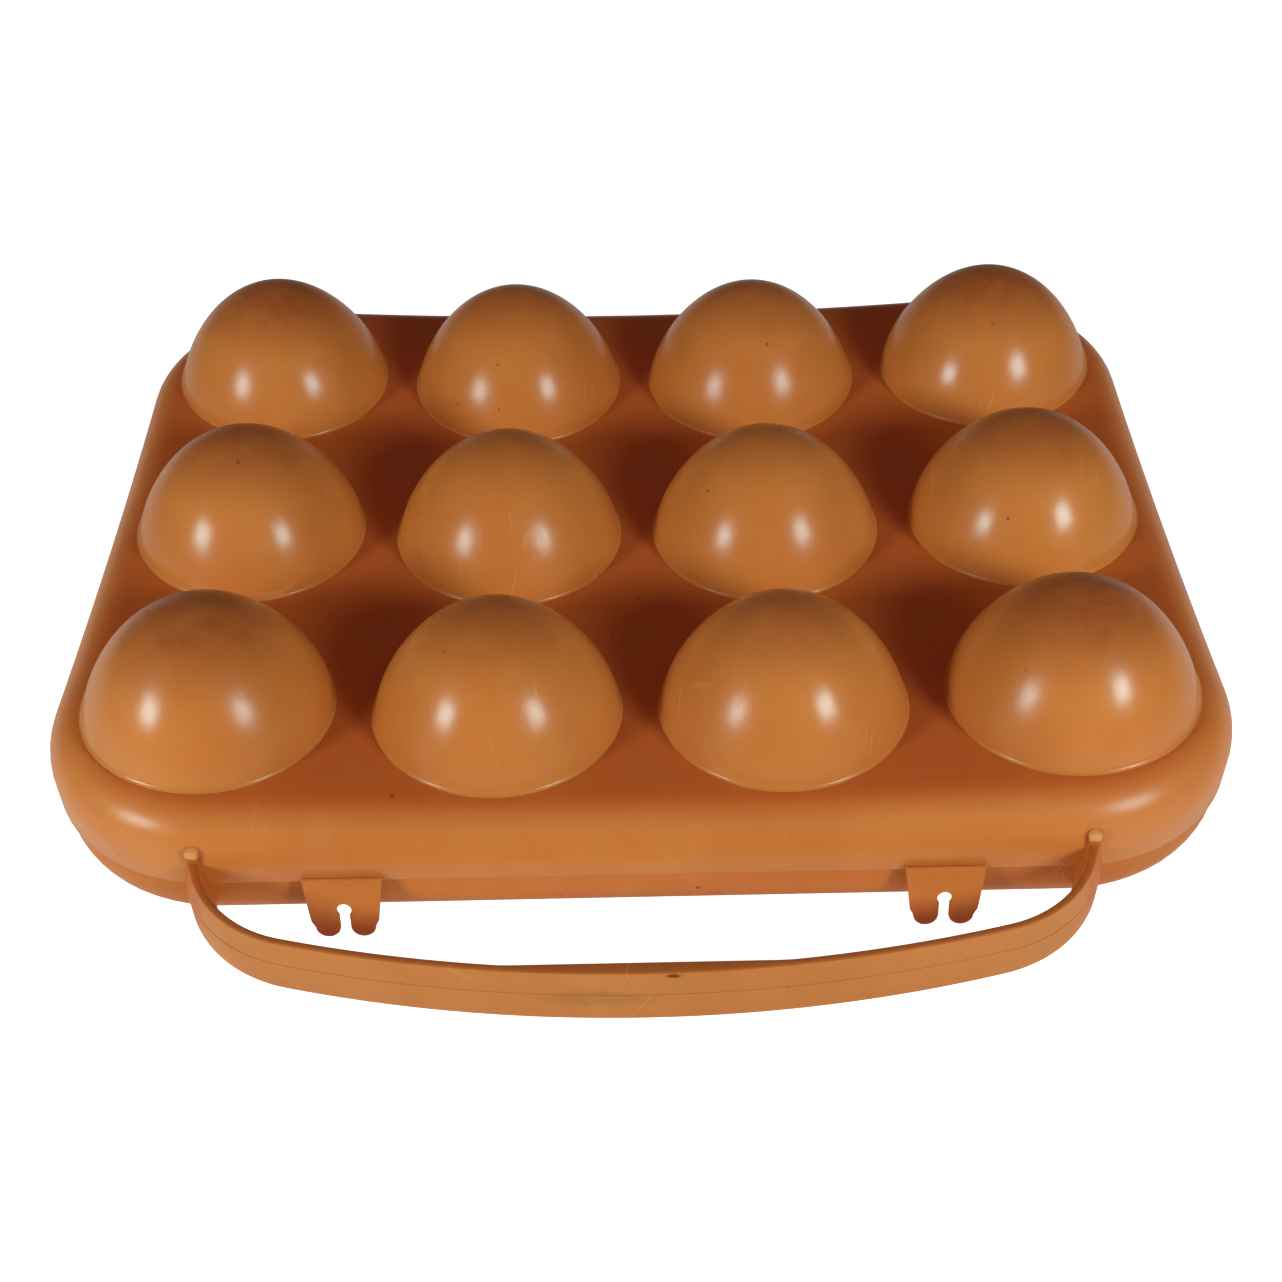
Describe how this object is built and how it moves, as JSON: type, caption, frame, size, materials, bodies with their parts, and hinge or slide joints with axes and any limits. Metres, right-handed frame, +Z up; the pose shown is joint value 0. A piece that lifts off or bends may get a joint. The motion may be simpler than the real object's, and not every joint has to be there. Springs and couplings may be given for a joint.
{
  "type": "egg carrying box",
  "caption": "Hinged see-through plastic egg box with domed lid places, cups in the base, forked snap tabs and a split carrying strap along the front.",
  "frame": {"origin": "on the table under the closed box, at the middle of its overall length and depth (strap and back hinges counted)", "axes": "+X along the box, to the right as seen from the strap side; -Y the front with the carrying strap and latch tabs, +Y the hinged back; +Z up"},
  "size_m": [0.2384, 0.2154, 0.0647],
  "materials": {
    "amber_lid": "see-through amber moulding, glossy, darker where it is seen through edge on",
    "amber_dome": "see-through amber moulding, glossy, with a dusting of fine scratches on the crown",
    "amber_base": "see-through amber moulding, glossy",
    "amber_cup": "see-through amber moulding, glossy",
    "amber_strap": "see-through amber moulding, glossy, scuffed along the grip",
    "amber_latch": "see-through amber moulding, glossy",
    "amber_hinge": "see-through amber moulding, glossy, thin at the fold"
  },
  "bodies": {
    "base": {"base_tray": "amber_base", "egg_cup_front_1": "amber_cup", "egg_cup_front_2": "amber_cup", "egg_cup_front_3": "amber_cup", "egg_cup_front_4": "amber_cup", "egg_cup_middle_1": "amber_cup", "egg_cup_middle_2": "amber_cup", "egg_cup_middle_3": "amber_cup", "egg_cup_middle_4": "amber_cup", "egg_cup_back_1": "amber_cup", "egg_cup_back_2": "amber_cup", "egg_cup_back_3": "amber_cup", "egg_cup_back_4": "amber_cup", "base_handle": "amber_strap", "base_hinge_leaf_left": "amber_hinge", "base_hinge_leaf_right": "amber_hinge", "hinge_bead_left": "amber_hinge", "hinge_bead_right": "amber_hinge", "latch_stud_left": "amber_latch", "latch_stud_right": "amber_latch"},
    "lid": {"lid_tray": "amber_lid", "lid_dome_front_1": "amber_dome", "lid_dome_front_2": "amber_dome", "lid_dome_front_3": "amber_dome", "lid_dome_front_4": "amber_dome", "lid_dome_middle_1": "amber_dome", "lid_dome_middle_2": "amber_dome", "lid_dome_middle_3": "amber_dome", "lid_dome_middle_4": "amber_dome", "lid_dome_back_1": "amber_dome", "lid_dome_back_2": "amber_dome", "lid_dome_back_3": "amber_dome", "lid_dome_back_4": "amber_dome", "lid_handle": "amber_strap", "lid_hinge_leaf_left": "amber_hinge", "lid_hinge_leaf_right": "amber_hinge", "latch_film_left": "amber_latch", "latch_film_right": "amber_latch"},
    "latch_left": {"latch_tab_left": "amber_latch"},
    "latch_right": {"latch_tab_right": "amber_latch"}
  },
  "joints": [
    {"name": "lid_hinge", "type": "hinge", "parent": "base", "child": "lid", "pos_m": [0, 0.10715, 0.026], "axis": [-1, 0, 0], "range_deg": [0, 155]},
    {"name": "latch_left_hinge", "type": "hinge", "parent": "lid", "child": "latch_left", "pos_m": [-0.0575, -0.08085, 0.0273], "axis": [-1, 0, 0], "range_deg": [-22, 106], "stiffness_Nm_per_rad": 0.002},
    {"name": "latch_right_hinge", "type": "hinge", "parent": "lid", "child": "latch_right", "pos_m": [0.0575, -0.08085, 0.0273], "axis": [-1, 0, 0], "range_deg": [-22, 106], "stiffness_Nm_per_rad": 0.002}
  ]
}
